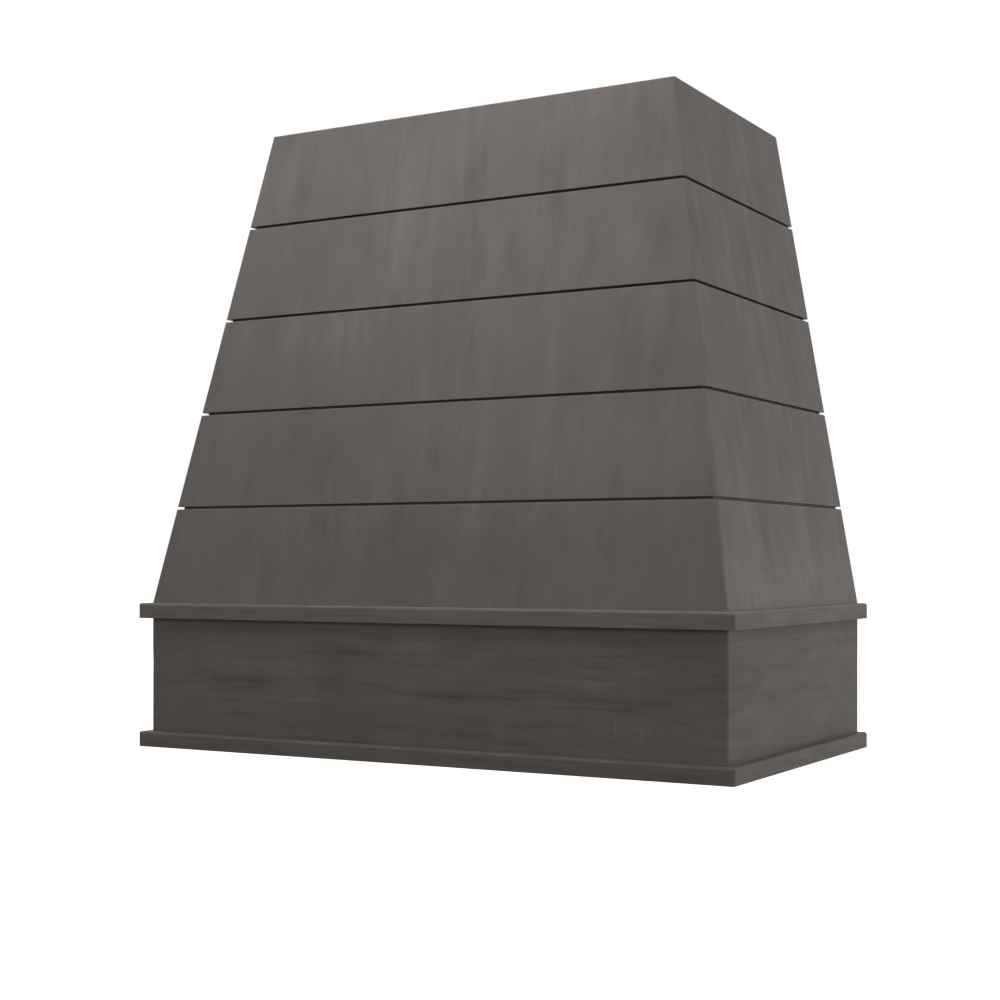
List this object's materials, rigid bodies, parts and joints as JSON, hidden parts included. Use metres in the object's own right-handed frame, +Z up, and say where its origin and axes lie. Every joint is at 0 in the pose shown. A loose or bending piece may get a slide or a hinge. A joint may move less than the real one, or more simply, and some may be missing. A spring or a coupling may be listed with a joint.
{
  "type": "wooden range hood cover",
  "caption": "Tapered wooden range hood cover clad in shiplap over a straight trimmed band, open at the back, with a duct opening at the top and a cut-out shelf for a hood insert.",
  "frame": {"origin": "middle of the footprint of the outer box, on the level of the underside", "axes": "+X to the right along the wall seen from the front, +Y back into the wall, +Z up"},
  "size_m": [0.943, 0.516, 0.9144],
  "materials": {
    "stained_maple": "satin",
    "birch_plywood": "matte",
    "poplar": "matte",
    "zinc_screw": "satin"
  },
  "bodies": {
    "root": {"plank_front_1": "stained_maple", "plank_front_2": "stained_maple", "plank_front_3": "stained_maple", "plank_front_4": "stained_maple", "plank_front_5": "stained_maple", "plank_left_1": "stained_maple", "plank_left_2": "stained_maple", "plank_left_3": "stained_maple", "plank_left_4": "stained_maple", "plank_left_5": "stained_maple", "plank_right_1": "stained_maple", "plank_right_2": "stained_maple", "plank_right_3": "stained_maple", "plank_right_4": "stained_maple", "plank_right_5": "stained_maple", "band_front": "stained_maple", "band_left": "stained_maple", "band_right": "stained_maple", "lower_trim_front": "stained_maple", "lower_trim_left": "stained_maple", "lower_trim_right": "stained_maple", "upper_trim_front": "stained_maple", "upper_trim_left": "stained_maple", "upper_trim_right": "stained_maple", "backer_front": "birch_plywood", "backer_left": "birch_plywood", "backer_right": "birch_plywood", "liner_shelf": "birch_plywood", "front_stud": "poplar", "hip_batten_left": "poplar", "hip_batten_right": "poplar", "rear_stile_left": "poplar", "rear_stile_right": "poplar", "top_rail_front": "poplar", "top_rail_left": "poplar", "top_rail_right": "poplar", "top_rail_back": "poplar", "hood_cleat": "poplar", "wall_cleat": "poplar", "sill_front": "poplar", "sill_left": "poplar", "sill_right": "poplar", "sill_back": "poplar", "band_back_rail": "poplar", "ledger_front": "poplar", "ledger_left": "poplar", "ledger_right": "poplar", "ledger_back": "poplar", "corner_block_front_left": "poplar", "corner_block_front_right": "poplar", "corner_block_rear_left": "poplar", "corner_block_rear_right": "poplar", "cleat_screw_1": "zinc_screw", "cleat_screw_2": "zinc_screw", "cleat_screw_3": "zinc_screw", "cleat_screw_4": "zinc_screw", "shelf_screw_1": "zinc_screw", "shelf_screw_2": "zinc_screw", "shelf_screw_3": "zinc_screw", "shelf_screw_4": "zinc_screw"}
  },
  "joints": []
}
